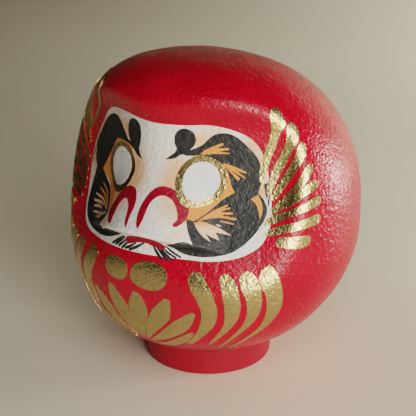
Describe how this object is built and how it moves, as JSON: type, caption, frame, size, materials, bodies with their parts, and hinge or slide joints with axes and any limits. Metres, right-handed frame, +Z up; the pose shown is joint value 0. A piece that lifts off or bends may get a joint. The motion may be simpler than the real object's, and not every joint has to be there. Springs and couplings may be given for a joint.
{
  "type": "daruma doll",
  "caption": "Round hollow papier-mache doll with a pressed-in face on a weighted round foot; stands free as a lucky ornament.",
  "frame": {"origin": "centre of the foot's flat underside, on the surface that the doll stands on", "axes": "+Z up through the crown, the face looks along -Y, +X towards the doll's left side"},
  "size_m": [0.1606, 0.1456, 0.17],
  "materials": {
    "red_paint": "satin paint over fibrous washi paper",
    "white_primer": "matte shell-white primer",
    "black_ink": "satin black paint",
    "orange_tint": "matte orange tint",
    "crimson_paint": "satin dark red paint",
    "gilt": "crinkled pale gold leaf",
    "ring_red": "matte red paint over pressed paper",
    "moulded_pulp": "rough grey-buff moulded pulp",
    "seam_paper": "pasted paper strip",
    "grey_card": "grey card",
    "fired_clay": "unglazed fired clay"
  },
  "bodies": {
    "root": {"washi_skin": "red_paint", "front_core": "moulded_pulp", "back_core": "moulded_pulp", "seam_strip_left": "seam_paper", "seam_strip_right": "seam_paper", "seam_strip_crown": "seam_paper", "foot_ring": "ring_red", "ballast_weight": "fired_clay", "base_disc": "grey_card"}
  },
  "joints": []
}
